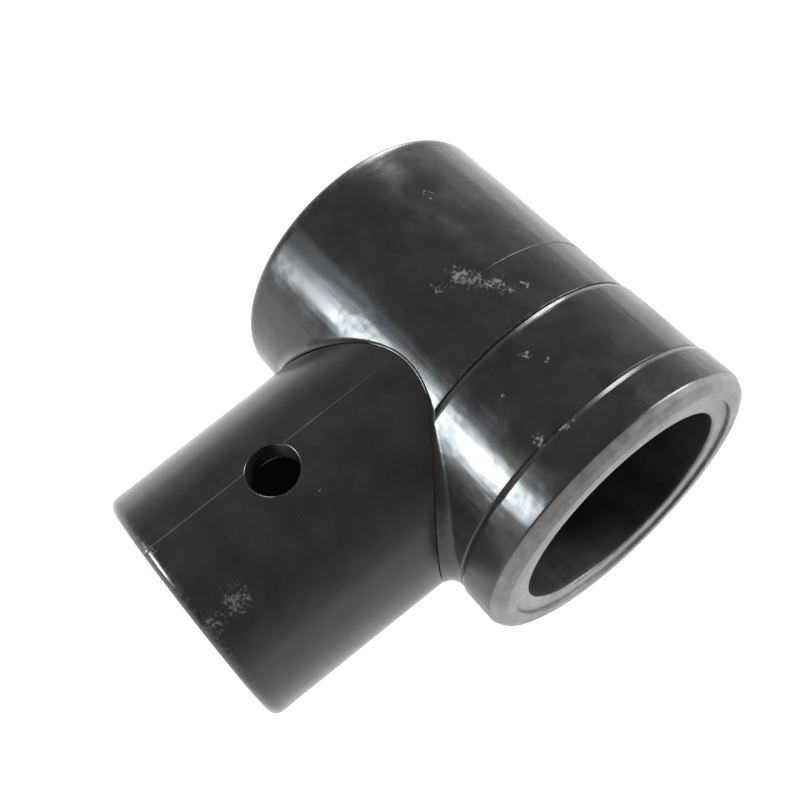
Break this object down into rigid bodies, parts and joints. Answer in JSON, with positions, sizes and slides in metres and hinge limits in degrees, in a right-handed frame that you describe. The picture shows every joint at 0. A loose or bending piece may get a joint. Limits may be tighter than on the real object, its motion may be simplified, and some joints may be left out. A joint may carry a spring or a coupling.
{
  "type": "reducing tee sleeve",
  "caption": "Black moulded tee fitting: a bushed through-sleeve with a stepped barrel and end collar, and a tapered side socket with a cross hole for a locating bolt.",
  "frame": {"origin": "where the run's axis and the side socket's axis cross, half way along the run", "axes": "+X along the run, out of the end with the collar; -Y out of the side socket's mouth; +Z along the cross hole, square to both tube axes"},
  "size_m": [0.068, 0.0912, 0.0554],
  "materials": {
    "body_black": "glossy as-moulded black with fine dimples, faint flow lines, dust and small scuffs",
    "bush_black": "satin black, fine turning marks on the end faces"
  },
  "bodies": {
    "root": {"run_shell": "body_black", "step_sleeve": "body_black", "end_collar": "body_black", "liner_bush": "bush_black", "branch_socket": "body_black", "saddle_fillet": "body_black"}
  },
  "joints": []
}
